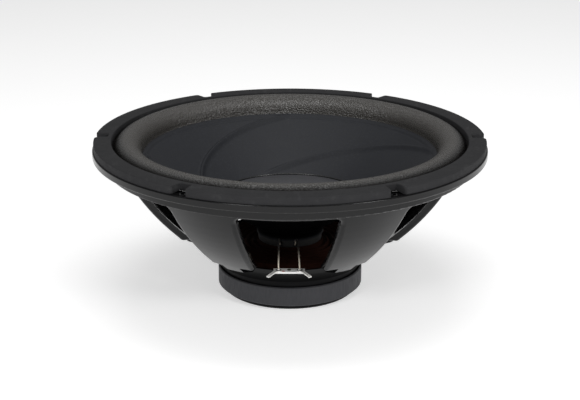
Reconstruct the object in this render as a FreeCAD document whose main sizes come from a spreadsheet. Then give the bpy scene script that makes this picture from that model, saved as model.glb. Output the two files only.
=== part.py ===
"""Twelve inch car subwoofer driver, as a parametric FreeCAD document.

Frame: millimetres, +Z from the magnet towards the listening side. The origin is the centre of
the circle on which the turned-down rim of the mounting flange seats. -Y is the terminal side.
Every piece is its own document object, sized from the Dimensions sheet.
"""
import FreeCAD, Part
import math
import os

import Sketcher

SPOKES = 6
SPOKE_PITCH = 360.0 / SPOKES
SPIDER_ROLLS = 11

# Driving dimensions: alias, value, meaning. Lengths are mm and angles are degrees.
DIMENSIONS = (
    ("flange_radius", 160.0, "outside of the flange"),
    ("flange_top", 5.6, "top face of the flange"),
    ("steel", 1.5, "gauge of the basket sheet"),
    ("wall_radius", 149.3, "outside of the short wall under the flange"),
    ("shoulder_height", -8.9, "underside of the shoulder at the wall"),
    ("bowl_across", -34.6, "distance from the axis of the centre of the bowl's arc"),
    ("bowl_centre", 70.3, "height of the centre of the bowl's arc"),
    ("bowl_radius", 190.0, "radius of the bowl's arc, outside the sheet"),
    ("bowl_start_angle", 25.13, "where the bowl meets the shoulder, below level"),
    ("window_top_angle", 26.68, "upper edge of a window on the bowl"),
    ("spoke_step_angle", 48.95, "where a spoke narrows to its foot"),
    ("bowl_end_angle", 51.2, "lower end of the bowl"),
    ("window_angle", 34.3, "window width about the axis"),
    ("foot_gap_angle", 50.0, "gap between two spoke feet about the axis"),
    ("edge_depth", 6.0, "depth of the turned-in spoke edge, sheet included"),
    ("edge_angle", 1.9, "thickness of the turned-in edge about the axis"),
    ("window_top", -15.0, "upper edge of a window"),
    ("window_cut_radius", 145.0, "outer side of the window cut"),
    ("foot_top", -73.0, "where a spoke narrows to its foot"),
    ("foot_cut_radius", 112.0, "outer side of the cut between spoke feet"),
    ("cut_floor", -100.0, "bottom of the window cuts"),
    ("rim_radius", 68.0, "outside of the rim around the spider seat"),
    ("rim_top", -79.5, "top of that rim"),
    ("seat_top", -81.6, "spider seat"),
    ("pan_radius", 62.0, "outside of the pan wall"),
    ("pan_floor", -91.6, "underside of the pan, on the top plate"),
    ("pan_hole", 32.0, "hole in the pan for the coil"),
    ("web_rise", 1.58, "height of the foot web across its slope"),
    ("header_angle", 26.2, "upper side of the turned-in edge over a window"),
    ("step_wall", 0.45, "thickness of the turned-in edge at the step, about the bowl centre"),
    ("hollow_margin", 3.0, "how far the spoke hollows run past the turned-in edge"),
    ("cut_inside", -76.0, "inner corner of the window cuts"),
    ("flange_round", 0.8, "rounding of the flange along its front"),
    ("lip_round", 0.9, "rounding along the lower edge of the flange's lip"),
    ("shoulder_round", 0.8, "rounding of the shoulder at the wall"),
    ("spoke_round", 3.0, "rounded lower corner of a spoke"),
    ("window_round", 5.5, "rounded upper corner of a window"),
    ("edge_round", 3.6, "rounding along a spoke"),
    ("spoke_turn", 30.0, "first spoke and screw, from the terminal side"),
    ("screw_circle", 154.0, "radius of the mounting screw circle"),
    ("screw_hole", 2.7, "radius of a mounting hole"),
    ("gasket_top", 12.0, "front face of the gasket"),
    ("gasket_outer", 159.0, "outside of the gasket"),
    ("gasket_inner", 144.5, "inside of the gasket"),
    ("land_top", 6.45, "top of the surround's outer land"),
    ("land_radius", 150.9, "outside of the surround's outer land"),
    ("glue", 0.06, "gap left between bonded faces"),
    ("notch_wall", 148.0, "back wall of a gasket notch"),
    ("notch_back", 4.7, "half width of a notch at its back wall"),
    ("notch_mouth", 7.2, "half width of a notch at the rim"),
    ("notch_reach", 163.0, "outer end of the notch cut"),
    ("notch_round", 3.0, "rounded corner of a notch"),
    ("roll_centre", 132.4, "centre of the surround roll, across"),
    ("roll_height", 0.85, "centre of the surround roll, up"),
    ("roll_radius", 12.15, "outside of the surround roll"),
    ("roll_wall", 1.2, "thickness of the surround"),
    ("inner_land", 113.5, "inner end of the surround's glued land"),
    ("cone_edge", 120.05, "outer edge of the cone"),
    ("cone_top", -1.77, "front face of the cone at its edge"),
    ("cone_rise", 0.664, "slope of the cone"),
    ("cone_drop", 1.44, "cone thickness, measured upright"),
    ("neck_inner", 26.4, "inside of the cone neck"),
    ("neck_outer", 27.6, "outside of the cone neck"),
    ("neck_bottom", -70.0, "lower end of the cone neck"),
    ("cap_radius", 61.0, "rim of the dust cap"),
    ("cap_wall", 1.0, "thickness of the dust cap"),
    ("cap_sphere", 236.6, "radius of the dust cap's dome"),
    ("former_inner", 25.6, "inside of the voice coil former"),
    ("former_outer", 25.9, "outside of the former"),
    ("former_top", -58.0, "upper end of the former"),
    ("former_bottom", -103.6, "lower end of the former"),
    ("coil_inner", 25.95, "inside of the winding"),
    ("coil_outer", 27.1, "outside of the winding"),
    ("coil_top", -86.6, "upper end of the winding"),
    ("coil_bottom", -102.6, "lower end of the winding"),
    ("collar_outer", 26.3, "outside of the former's collar"),
    ("collar_top", -60.0, "upper end of the collar"),
    ("collar_bottom", -85.8, "lower end of the collar"),
    ("spider_inner", 26.36, "inside of the spider"),
    ("spider_start", 29.5, "first roll of the spider"),
    ("spider_roll", 1.4, "radius of a spider roll"),
    ("spider_half", 0.4, "half thickness of the spider"),
    ("spider_height", -80.0, "middle plane of the spider rolls"),
    ("spider_outer", 66.4, "outside of the spider"),
    ("spider_seat", -81.5, "underside of the spider's flat edge"),
    ("spider_neck", -75.5, "top of the spider's glued neck"),
    ("plate_outer", 57.5, "outside of the top plate"),
    ("plate_inner", 27.75, "inside of the top plate"),
    ("plate_bottom", -97.6, "underside of the top plate"),
    ("magnet_outer", 60.0, "outside of the magnet"),
    ("magnet_inner", 30.0, "inside of the magnet"),
    ("magnet_bottom", -113.6, "underside of the magnet"),
    ("magnet_edge", 0.8, "bevel of the magnet"),
    ("yoke_outer", 55.5, "outside of the back plate"),
    ("yoke_bottom", -118.0, "underside of the back plate"),
    ("yoke_edge", 1.2, "bevel of the back plate"),
    ("pole_radius", 25.15, "outside of the pole"),
    ("pole_top", -91.2, "top of the pole"),
    ("vent_radius", 9.0, "vent through the pole"),
    ("vent_flare", 3.0, "bevel of the vent at the back"),
    ("rivet_circle", 52.0, "radius of the rivet circle"),
    ("rivet_shank", 2.5, "radius of a rivet shank"),
    ("rivet_head", 4.2, "radius of a rivet head"),
    ("rivet_rise", 1.4, "height of a rivet head"),
    ("rivet_depth", 5.0, "depth of a rivet in the top plate"),
    ("rivet_fit", 0.04, "clearance around a rivet"),
    ("board_half", 12.3, "half width of the terminal board"),
    ("board_near", 74.6, "outer edge of the board, from the axis"),
    ("board_far", 67.0, "inner edge of the board, from the axis"),
    ("board_bottom", -79.4, "underside of the board"),
    ("board_thickness", 1.5, "thickness of the board"),
    ("tab_half", 5.0, "half width of the basket tab under the board"),
    ("tab_near", 73.9, "outer edge of that tab"),
    ("tab_far", 67.0, "inner edge of that tab"),
    ("board_rivet", 0.9, "radius of the board rivet"),
    ("board_rivet_head", 1.5, "head radius of the board rivet"),
    ("board_rivet_rise", 0.5, "head height of the board rivet"),
    ("board_rivet_place", 70.6, "board rivet, from the axis"),
    ("eyelet_across", 8.3, "eyelet from the middle of the board"),
    ("eyelet_place", 72.6, "eyelet, from the axis"),
    ("eyelet_bore", 0.8, "bore of an eyelet"),
    ("eyelet_shank", 1.3, "outside of an eyelet"),
    ("eyelet_flange", 1.8, "flange radius of an eyelet"),
    ("eyelet_fold", 0.35, "flange thickness of an eyelet"),
    ("lug_gap", 0.02, "gap between lug and board"),
    ("lug_thickness", 0.8, "thickness of a solder lug"),
    ("lug_bend", 4.8, "eyelet to the bend of a lug"),
    ("lug_drop", 1.8, "drop of a lug's tip"),
    ("lug_pad", 2.4, "radius of the lug around its eyelet"),
    ("lug_width", 2.8, "width of a lug's tab"),
    ("lug_length", 12.4, "eyelet to the tip of a lug"),
    ("lug_turn", 42.0, "how far a lug splays to its side"),
    ("lug_slot", 0.6, "radius of the wire hole in a lug"),
    ("lead_wire", 0.6, "radius of a tinsel lead"),
    ("lead_arc", 26.5, "radius of a lead's bow"),
    ("lead_start", -75.9, "height of a lead at its eyelet"),
    ("lead_end", 28.45, "upper end of a lead, from the axis"),
    ("negative_turn", 9.0, "negative solder pad, from the terminal side"),
    ("positive_turn", -17.0, "positive solder pad, from the terminal side"),
    ("pad_radius", 1.8, "radius of a lead's solder pad"),
    ("pad_inner", 26.36, "inner end of a solder pad"),
    ("pad_outer", 27.5, "outer end of a solder pad"),
    ("pad_height", -72.8, "height of the solder pads"),
)

document = FreeCAD.newDocument("subwoofer_driver")
sheet = document.addObject("Spreadsheet::Sheet", "Dimensions")
numbers = {}
for row, (alias, number, meaning) in enumerate(DIMENSIONS, start=1):
    sheet.set("A%d" % row, meaning)
    sheet.set("B%d" % row, repr(number))
    sheet.setAlias("B%d" % row, alias)
    numbers[alias] = number
document.recompute()


class Size:
    """A length or an angle that knows its value and the sheet formula that gives it."""

    def __init__(self, value, text):
        self.value = value
        self.text = text

    def __add__(self, other):
        other = as_size(other)
        return Size(self.value + other.value, "(%s + %s)" % (self.text, other.text))

    def __sub__(self, other):
        other = as_size(other)
        return Size(self.value - other.value, "(%s - %s)" % (self.text, other.text))

    def __mul__(self, other):
        other = as_size(other)
        return Size(self.value * other.value, "(%s * %s)" % (self.text, other.text))

    def __truediv__(self, other):
        other = as_size(other)
        return Size(self.value / other.value, "(%s / %s)" % (self.text, other.text))

    def __neg__(self):
        return Size(-self.value, "(-1 * %s)" % self.text)


def as_size(number):
    return number if isinstance(number, Size) else Size(float(number), repr(float(number)))


def cell(alias):
    return Size(numbers[alias], "Dimensions.%s" % alias)


def cosine(angle):
    return Size(math.cos(math.radians(angle.value)), "cos(%s)" % angle.text)


def sine(angle):
    return Size(math.sin(math.radians(angle.value)), "sin(%s)" % angle.text)


def root(size):
    return Size(math.sqrt(size.value), "sqrt(%s)" % size.text)


def arcsine(ratio):
    return Size(math.degrees(math.asin(ratio.value)), "asin(%s)" % ratio.text)


def new_body(name):
    body = document.addObject("PartDesign::Body", name)
    body.Label = name
    return body


def origin_feature(body, role):
    return next(feature for feature in body.Origin.OriginFeatures if feature.Role == role)


def new_sketch(body, name, plane, height=None, across=None):
    """A sketch on one of the body's own origin planes, moved by height along the plane's normal
    and by across along its first direction."""
    sketch = body.newObject("Sketcher::SketchObject", name)
    sketch.AttachmentSupport = [(origin_feature(body, plane), "")]
    sketch.MapMode = "FlatFace"
    if height is not None:
        sketch.setExpression("AttachmentOffset.Base.z", height.text)
    if across is not None:
        sketch.setExpression("AttachmentOffset.Base.x", across.text)
    document.recompute()
    return sketch


def drive(sketch, kind, *arguments):
    """Adds a constraint whose last argument is a Size, and binds it to the sheet."""
    size = arguments[-1]
    index = sketch.addConstraint(Sketcher.Constraint(kind, *arguments[:-1], size.value))
    sketch.setExpression("Constraints[%d]" % index, size.text)


def outline(sketch, corners):
    """A closed outline. A corner is (across, up), or (across, up, centre) when the stretch that
    leads on to the next corner is an arc about centre; centre is (across, up, clockwise)."""
    corners = [tuple(as_size(part) if index < 2 else part for index, part in enumerate(corner))
               for corner in corners]
    first = sketch.GeometryCount
    count = len(corners)
    for index, corner in enumerate(corners):
        following = corners[(index + 1) % count]
        start = FreeCAD.Vector(corner[0].value, corner[1].value, 0)
        end = FreeCAD.Vector(following[0].value, following[1].value, 0)
        if len(corner) == 2:
            sketch.addGeometry(Part.LineSegment(start, end))
            continue
        across, up, clockwise = corner[2]
        middle = FreeCAD.Vector(as_size(across).value, as_size(up).value, 0)
        circle = Part.Circle(middle, FreeCAD.Vector(0, 0, 1), (start - middle).Length)
        begin, finish = (end, start) if clockwise else (start, end)
        sketch.addGeometry(Part.ArcOfCircle(circle, circle.parameter(begin), circle.parameter(finish)))
    for index, corner in enumerate(corners):
        geometry = first + index
        clockwise = len(corner) == 3 and corner[2][2]
        before = corners[index - 1]
        before_clockwise = len(before) == 3 and before[2][2]
        previous = first + (index - 1) % count
        point = 2 if clockwise else 1
        sketch.addConstraint(
            Sketcher.Constraint("Coincident", previous, 1 if before_clockwise else 2, geometry, point))
        pin_down(sketch, geometry, point, corner[0], corner[1])
        if len(corner) == 3:
            pin_arc(sketch, geometry, corner, corners[(index + 1) % count], corner[2])


def pin_down(sketch, geometry, point, across, up):
    drive(sketch, "DistanceX", -1, 1, geometry, point, across)
    drive(sketch, "DistanceY", -1, 1, geometry, point, up)


def pin_arc(sketch, geometry, start, end, centre):
    """Fixes an arc whose ends are pinned already, by its centre's place along the line that
    halves the chord."""
    if abs(end[0].value - start[0].value) > abs(end[1].value - start[1].value):
        drive(sketch, "DistanceY", -1, 1, geometry, 3, as_size(centre[1]))
    else:
        drive(sketch, "DistanceX", -1, 1, geometry, 3, as_size(centre[0]))


def circle_at(sketch, across, up, radius):
    middle = FreeCAD.Vector(as_size(across).value, as_size(up).value, 0)
    geometry = sketch.addGeometry(Part.Circle(middle, FreeCAD.Vector(0, 0, 1), radius.value))
    pin_down(sketch, geometry, 3, as_size(across), as_size(up))
    drive(sketch, "Radius", geometry, radius)


def turned(body, name, corners, across=None, beside=None):
    """Turns an outline once around Z, or around the upright line that stands across along Y and
    beside along X."""
    if across is None:
        sketch = new_sketch(body, name + "_outline", "XZ_Plane")
    else:
        sketch = new_sketch(body, name + "_outline", "YZ_Plane", beside, across)
    outline(sketch, corners)
    feature = body.newObject("PartDesign::Revolution", name)
    feature.Profile = sketch
    feature.ReferenceAxis = (sketch, ["V_Axis"])
    feature.Angle = 360.0
    document.recompute()
    return feature


def sector_cut(body, name, plane, corners, angle):
    """Cuts an outline turned about Z by that angle, half to each side of the plane."""
    before = body.Shape.Volume
    sketch = new_sketch(body, name + "_outline", plane)
    outline(sketch, corners)
    feature = body.newObject("PartDesign::Groove", name)
    feature.Profile = sketch
    feature.ReferenceAxis = (sketch, ["V_Axis"])
    feature.Midplane = True
    feature.setExpression("Angle", angle.text)
    document.recompute()
    if body.Shape.Volume > before - 1.0:
        raise RuntimeError(name + " cuts nothing")
    return feature


def padded(body, name, sketch, height):
    feature = body.newObject("PartDesign::Pad", name)
    feature.Profile = sketch
    feature.setExpression("Length", height.text)
    document.recompute()
    return feature


def drilled(body, name, sketch):
    """A cut through everything, to both sides of the sketch."""
    feature = body.newObject("PartDesign::Pocket", name)
    feature.Profile = sketch
    feature.Type = "ThroughAll"
    feature.Midplane = True
    document.recompute()
    return feature


def around(body, name, features, count=SPOKES):
    pattern = body.newObject("PartDesign::PolarPattern", name)
    pattern.Originals = features
    pattern.Axis = (origin_feature(body, "Z_Axis"), [""])
    pattern.Angle = 360.0
    pattern.Occurrences = count
    body.Tip = pattern
    document.recompute()
    return pattern


def rounded(body, name, base, wanted, radius):
    """Rounds the edges of base that wanted picks out."""
    names = ["Edge%d" % (index + 1) for index, edge in enumerate(base.Shape.Edges) if wanted(edge)]
    if not names:
        raise RuntimeError("no edge to round for " + name)
    feature = body.newObject("PartDesign::Fillet", name)
    feature.Base = (base, names)
    feature.setExpression("Radius", radius.text)
    document.recompute()
    return feature


def polar(point):
    """Radius and height of a point, and its turn from -Y towards +X in degrees."""
    turn = math.degrees(math.atan2(point.x, -point.y))
    return math.hypot(point.x, point.y), point.z, turn


def middle_of(edge):
    return edge.valueAt((edge.FirstParameter + edge.LastParameter) / 2)


def ring(name, inner, outer, bottom, top):
    """A plain tube about Z."""
    body = new_body(name)
    sketch = new_sketch(body, name + "_outline", "XY_Plane", bottom)
    circle_at(sketch, 0, 0, inner)
    circle_at(sketch, 0, 0, outer)
    padded(body, name + "_pad", sketch, top - bottom)
    return body


def on_bowl(depth, angle):
    """The point on the bowl's arc at that angle below level, moved inwards by depth."""
    reach = cell("bowl_radius") - depth
    return cell("bowl_across") + reach * cosine(angle), cell("bowl_centre") - reach * sine(angle)


def bowl_centre(clockwise):
    return cell("bowl_across"), cell("bowl_centre"), clockwise


def basket_outline():
    """Half section of the pressed sheet, with the turned-in spoke edge as a thick band."""
    steel = cell("steel")
    top = cell("flange_top")
    wall = cell("wall_radius")
    shoulder = cell("shoulder_height")
    seat = cell("seat_top")
    floor = cell("pan_floor")
    level = as_size(0)
    bend = cell("flange_round")
    turn = cell("shoulder_round")
    lip = cell("lip_round")
    corner = cell("flange_radius") - bend
    return [
        (cell("flange_radius"), lip),
        (cell("flange_radius"), top - bend, (corner, top - bend, False)),
        (corner, top),
        (wall - steel, top),
        (wall - steel, shoulder + steel),
        on_bowl(steel, cell("bowl_start_angle")) + (bowl_centre(True),),
        on_bowl(steel, cell("header_angle")),
        on_bowl(cell("edge_depth"), cell("header_angle")) + (bowl_centre(True),),
        on_bowl(cell("edge_depth"), cell("bowl_end_angle")),
        (cell("rim_radius"), seat - steel + cell("web_rise")),
        (cell("rim_radius"), cell("rim_top")),
        (cell("rim_radius") - steel, cell("rim_top")),
        (cell("rim_radius") - steel, seat),
        (cell("pan_radius") - steel, seat),
        (cell("pan_radius") - steel, floor + steel),
        (cell("pan_hole"), floor + steel),
        (cell("pan_hole"), floor),
        (cell("pan_radius"), floor),
        (cell("pan_radius"), seat - steel),
        (cell("rim_radius"), seat - steel),
        on_bowl(level, cell("bowl_end_angle")) + (bowl_centre(False),),
        on_bowl(level, cell("bowl_start_angle")),
        (wall - turn, shoulder, (wall - turn, shoulder + turn, False)),
        (wall, shoulder + turn),
        (wall, top - steel),
        (cell("flange_radius") - steel, top - steel),
        (cell("flange_radius") - steel, level),
        (cell("flange_radius") - lip, level, (cell("flange_radius") - lip, lip, False)),
    ]


def sector_pocket(body, name, angle, outer, top):
    """Cuts everything below top between the rim and outer, over that angle about -Y."""
    before = body.Shape.Volume
    level = as_size(0)
    half = angle / 2
    rim = cell("rim_radius")
    sketch = new_sketch(body, name + "_outline", "XY_Plane", top)
    outline(sketch, [
        (-(rim * sine(half)), -(rim * cosine(half)), (level, level, False)),
        (rim * sine(half), -(rim * cosine(half))),
        (outer * sine(half), -(outer * cosine(half)), (level, level, True)),
        (-(outer * sine(half)), -(outer * cosine(half))),
    ])
    feature = body.newObject("PartDesign::Pocket", name)
    feature.Profile = sketch
    feature.setExpression("Length", (top - cell("cut_floor")).text)
    document.recompute()
    if body.Shape.Volume > before - 1.0:
        raise RuntimeError(name + " cuts nothing")
    return feature


def cut_windows(body):
    """Six windows with turned-in edges, and spokes that narrow to a foot on the rim."""
    steel = cell("steel")
    rim = cell("rim_radius")
    step_angle = cell("spoke_step_angle") - cell("step_wall")
    hollow_reach = cell("edge_depth") + cell("hollow_margin")
    turned_edge = cell("edge_angle")
    top_angle = cell("window_top_angle")
    spoke = Size(SPOKE_PITCH, repr(SPOKE_PITCH))
    hollow = sector_cut(body, "spoke_hollow", "XZ_Plane", [
        on_bowl(steel, top_angle) + (bowl_centre(True),),
        on_bowl(steel, step_angle),
        on_bowl(hollow_reach, step_angle),
        on_bowl(hollow_reach, top_angle),
    ], spoke - cell("window_angle") - turned_edge * 2)
    foot_hollow = sector_cut(body, "foot_hollow", "XZ_Plane", [
        on_bowl(steel, step_angle) + (bowl_centre(True),),
        on_bowl(steel, cell("bowl_end_angle")),
        (rim, cell("seat_top") - steel + cell("web_rise")),
        (rim, cell("cut_inside")),
        on_bowl(hollow_reach, step_angle),
    ], spoke - cell("foot_gap_angle") - turned_edge * 2)
    foot_gap = sector_pocket(body, "foot_gap", cell("foot_gap_angle"), cell("foot_cut_radius"),
                             cell("foot_top"))
    window = sector_pocket(body, "window", cell("window_angle"), cell("window_cut_radius"),
                           cell("window_top"))
    return around(body, "six_spokes", [hollow, foot_hollow, foot_gap, window])


def along_spoke_edge(edge):
    """True for the long outer edges of the spokes, which lie on the bowl arc."""
    radius, height, turn = polar(middle_of(edge))
    from_centre = math.hypot(radius - numbers["bowl_across"], height - numbers["bowl_centre"])
    if abs(from_centre - numbers["bowl_radius"]) > 0.01:
        return False
    half_window = numbers["window_angle"] / 2
    from_window = abs((turn + SPOKE_PITCH / 2) % SPOKE_PITCH - SPOKE_PITCH / 2)
    return abs(from_window - half_window) < 0.01 and edge.Length > 20.0


def at_window_corner(edge, top, half_angle):
    """True for the short edges through the sheet at a corner of a window."""
    radius, height, turn = polar(middle_of(edge))
    if abs(height - top) > 0.01:
        return False
    from_window = abs((turn + SPOKE_PITCH / 2) % SPOKE_PITCH - SPOKE_PITCH / 2)
    return abs(from_window - half_angle) < 0.01


def make_basket():
    """Pressed steel basket: flange with a turned-down rim, shoulder, bowl with six windows,
    spider seat and pan."""
    body = new_body("basket")
    turned(body, "basket_shell", basket_outline())
    spokes = cut_windows(body)
    half_window = numbers["window_angle"] / 2
    corners = rounded(
        body, "spoke_corners", spokes,
        lambda edge: at_window_corner(edge, numbers["foot_top"], half_window), cell("spoke_round"))
    tops = rounded(
        body, "window_corners", corners,
        lambda edge: at_window_corner(edge, numbers["window_top"], half_window), cell("window_round"))
    rounded(body, "spoke_edges", tops, along_spoke_edge, cell("edge_round"))
    tab = new_sketch(body, "board_tab_outline", "XY_Plane", cell("rim_top") - cell("steel"))
    half = cell("tab_half")
    outline(tab, [(-half, -cell("tab_near")), (half, -cell("tab_near")),
                  (half, -cell("tab_far")), (-half, -cell("tab_far"))])
    padded(body, "board_tab", tab, cell("steel"))
    screws = new_sketch(body, "screw_hole_outline", "XY_Plane")
    spoke_turn = cell("spoke_turn")
    circle_at(screws, cell("screw_circle") * sine(spoke_turn),
              -(cell("screw_circle") * cosine(spoke_turn)), cell("screw_hole"))
    screw_hole = drilled(body, "screw_hole", screws)
    around(body, "screw_holes", [screw_hole])
    rivets = new_sketch(body, "rivet_hole_outline", "XY_Plane")
    circle_at(rivets, as_size(0), -cell("rivet_circle"), cell("rivet_shank") + cell("rivet_fit"))
    around(body, "rivet_holes", [drilled(body, "rivet_hole", rivets)])
    board_hole = new_sketch(body, "board_hole_outline", "XY_Plane")
    circle_at(board_hole, as_size(0), -cell("board_rivet_place"),
              cell("board_rivet") + cell("rivet_fit"))
    drilled(body, "board_hole", board_hole)
    return body


def notch_outline(body):
    """One notch in plan, across +Y, narrower at its back wall than at the rim."""
    sketch = new_sketch(body, "notch_outline", "XY_Plane")
    back = cell("notch_wall")
    reach = cell("notch_reach")
    mouth = cell("notch_mouth")
    narrow = cell("notch_back")
    outline(sketch, [(-narrow, -back), (-mouth, -reach), (mouth, -reach), (narrow, -back)])
    sketch.setExpression("AttachmentOffset.Rotation.Angle", "Dimensions.spoke_turn")
    document.recompute()
    return sketch


def cut_notches(body):
    """Six notches over the mounting screws."""
    notch = drilled(body, "notch", notch_outline(body))
    return around(body, "notches", [notch])


def notch_corner_wanted(edge):
    """True for the one rounded corner of each notch: on the side towards the widest point of
    the ring, and on the terminal side of the notch at the widest point itself."""
    radius, height, turn = polar(middle_of(edge))
    if abs(radius - numbers["gasket_outer"]) > 0.01:
        return False
    if abs(edge.valueAt(edge.FirstParameter).z - edge.valueAt(edge.LastParameter).z) < 3.0:
        return False
    side = abs(turn)
    centre = SPOKE_PITCH * math.floor(side / SPOKE_PITCH) + SPOKE_PITCH / 2
    return side > centre if centre < 60.0 else side < centre


def make_gasket():
    """Foam gasket ring that sits on the flange and holds down the surround's outer land."""
    body = new_body("mounting_gasket")
    land = cell("land_radius") + cell("glue")
    over_land = cell("land_top") + cell("glue")
    seat = cell("flange_top") + cell("glue")
    turned(body, "gasket_ring", [
        (cell("gasket_inner"), over_land),
        (land, over_land),
        (land, seat),
        (cell("gasket_outer"), seat),
        (cell("gasket_outer"), cell("gasket_top")),
        (cell("gasket_inner"), cell("gasket_top")),
    ])
    notches = cut_notches(body)
    rounded(body, "notch_corners", notches, notch_corner_wanted, cell("notch_round"))
    return body


def roll_point(radius, height, side):
    """Where a circle about the roll's centre meets a level, outside (1) or inside (-1)."""
    up = height - cell("roll_height")
    across = root(radius * radius - up * up)
    return cell("roll_centre") + across * side, height


def make_surround():
    """Half-roll surround: outer land under the gasket, roll, and inner land under the cone."""
    body = new_body("surround")
    seat = cell("flange_top") + cell("glue")
    outer = cell("roll_radius")
    inner = outer - cell("roll_wall")
    centre = (cell("roll_centre"), cell("roll_height"))
    under_cone = cell("cone_top") - cell("cone_drop") - cell("glue") * 2
    slope = cell("cone_rise")

    def land(radius, drop):
        return radius, under_cone - drop - (cell("cone_edge") - radius) * slope

    outside = cell("roll_centre") - outer
    inside = cell("roll_centre") - inner
    drop = cell("roll_wall") * 1.2
    turned(body, "surround_roll", [
        (cell("land_radius"), seat),
        (cell("land_radius"), cell("land_top")),
        roll_point(outer, cell("land_top"), 1) + (centre + (False,),),
        (outside, cell("roll_height")),
        land(outside, as_size(0)),
        land(cell("inner_land"), as_size(0)),
        land(cell("inner_land"), drop),
        land(inside, drop),
        (inside, cell("roll_height"), centre + (True,)),
        roll_point(inner, seat, 1),
    ])
    cut_notches(body)
    return body


def cone_face(radius, drop=0.0):
    """Point on the cone's front face at that radius, or below it by drop."""
    return radius, cell("cone_top") - (cell("cone_edge") - radius) * cell("cone_rise") - drop


def make_cone():
    body = new_body("cone")
    turned(body, "cone_shell", [
        cone_face(cell("cone_edge")),
        cone_face(cell("neck_inner")),
        (cell("neck_inner"), cell("neck_bottom")),
        (cell("neck_outer"), cell("neck_bottom")),
        cone_face(cell("neck_outer"), cell("cone_drop")),
        cone_face(cell("cone_edge"), cell("cone_drop")),
    ])
    return body


def make_dust_cap():
    """Shallow dome glued to the front face of the cone."""
    body = new_body("dust_cap")
    rim = cell("cap_radius")
    wall = cell("cap_wall")
    sphere = cell("cap_sphere")
    glue = cell("glue") * 2
    rim_height = cone_face(rim)[1] + glue
    centre = rim_height - root(sphere * sphere - rim * rim)
    inner_rim = rim - wall
    inner_height = centre + root((sphere - wall) * (sphere - wall) - inner_rim * inner_rim)
    level = as_size(0)
    turned(body, "cap_dome", [
        (rim, rim_height, (level, centre, False)),
        (level, centre + sphere),
        (level, centre + sphere - wall, (level, centre, True)),
        (inner_rim, inner_height),
    ])
    return body


def make_spider():
    """Corrugated spider: glued neck, half-round rolls up and down in turn, and a flat edge."""
    body = new_body("spider")
    half = cell("spider_half")
    roll = cell("spider_roll")
    level = cell("spider_height")
    seat = cell("spider_seat")
    start = cell("spider_start")
    gauge = half * 2
    web = level - gauge * 1.5
    corners = [
        (cell("spider_inner"), web),
        (cell("spider_inner"), cell("spider_neck")),
        (cell("spider_inner") + gauge, cell("spider_neck")),
        (cell("spider_inner") + gauge, web + gauge),
        (start - half, web + gauge),
    ]
    for index in range(SPIDER_ROLLS):
        centre = start + roll * (2 * index + 1)
        upward = index % 2 == 0
        reach = roll + half if upward else roll - half
        corners.append((centre - reach, level, (centre, level, upward)))
    end = start + roll * (2 * SPIDER_ROLLS)
    corners += [
        (end + half, level),
        (end + half, seat + gauge),
        (cell("spider_outer"), seat + gauge),
        (cell("spider_outer"), seat),
        (end - half, seat),
    ]
    for index in reversed(range(SPIDER_ROLLS)):
        centre = start + roll * (2 * index + 1)
        upward = index % 2 == 0
        reach = roll - half if upward else roll + half
        corners.append((centre + reach, level, (centre, level, not upward)))
    corners += [
        (start + half, level),
        (start + half, web),
    ]
    turned(body, "spider_rolls", corners)
    return body


def make_top_plate():
    body = ring("top_plate", cell("plate_inner"), cell("plate_outer"), cell("plate_bottom"),
                cell("pan_floor"))
    sketch = new_sketch(body, "plate_hole_outline", "XY_Plane",
                        cell("pan_floor") - cell("rivet_depth") - cell("rivet_fit"))
    circle_at(sketch, as_size(0), -cell("rivet_circle"), cell("rivet_shank") + cell("rivet_fit"))
    hole = body.newObject("PartDesign::Pocket", "plate_hole")
    hole.Profile = sketch
    hole.Reversed = True
    hole.setExpression("Length", (cell("rivet_depth") * 2).text)
    document.recompute()
    around(body, "plate_holes", [hole])
    return body


def make_magnet():
    """Ferrite ring with a small bevel on its edges."""
    body = new_body("magnet")
    edge = cell("magnet_edge")
    outer = cell("magnet_outer")
    inner = cell("magnet_inner")
    top = cell("plate_bottom")
    bottom = cell("magnet_bottom")
    turned(body, "magnet_ring", [
        (inner + edge, bottom),
        (outer - edge, bottom),
        (outer, bottom + edge),
        (outer, top - edge),
        (outer - edge, top),
        (inner + edge, top),
        (inner, top - edge),
        (inner, bottom + edge),
    ])
    return body


def make_pole_yoke():
    """Back plate and pole in one forging, with a vent through the pole."""
    body = new_body("pole_yoke")
    edge = cell("yoke_edge")
    outer = cell("yoke_outer")
    top = cell("magnet_bottom")
    bottom = cell("yoke_bottom")
    pole = cell("pole_radius")
    vent = cell("vent_radius")
    turned(body, "yoke_forging", [
        (vent + cell("vent_flare"), bottom),
        (outer - edge, bottom),
        (outer, bottom + edge),
        (outer, top),
        (pole, top),
        (pole, cell("pole_top") - edge),
        (pole - edge, cell("pole_top")),
        (vent, cell("pole_top")),
        (vent, bottom + cell("vent_flare")),
    ])
    return body


def rivet_outline(shank, head, rise, bottom, top):
    """Half section of a domed rivet whose shank runs from bottom to top."""
    level = as_size(0)
    return [
        (level, bottom),
        (shank, bottom),
        (shank, top),
        (head, top),
        (head - rise * 0.7, top + rise),
        (level, top + rise),
    ]


def make_basket_rivets():
    """Six rivets that hold the pan of the basket to the top plate."""
    body = new_body("basket_rivets")
    floor = cell("pan_floor")
    rivet = turned(body, "rivet", rivet_outline(
        cell("rivet_shank"), cell("rivet_head"), cell("rivet_rise"), floor - cell("rivet_depth"),
        floor + cell("steel") + cell("glue")), -cell("rivet_circle"), as_size(0))
    around(body, "rivets", [rivet])
    return body


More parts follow.
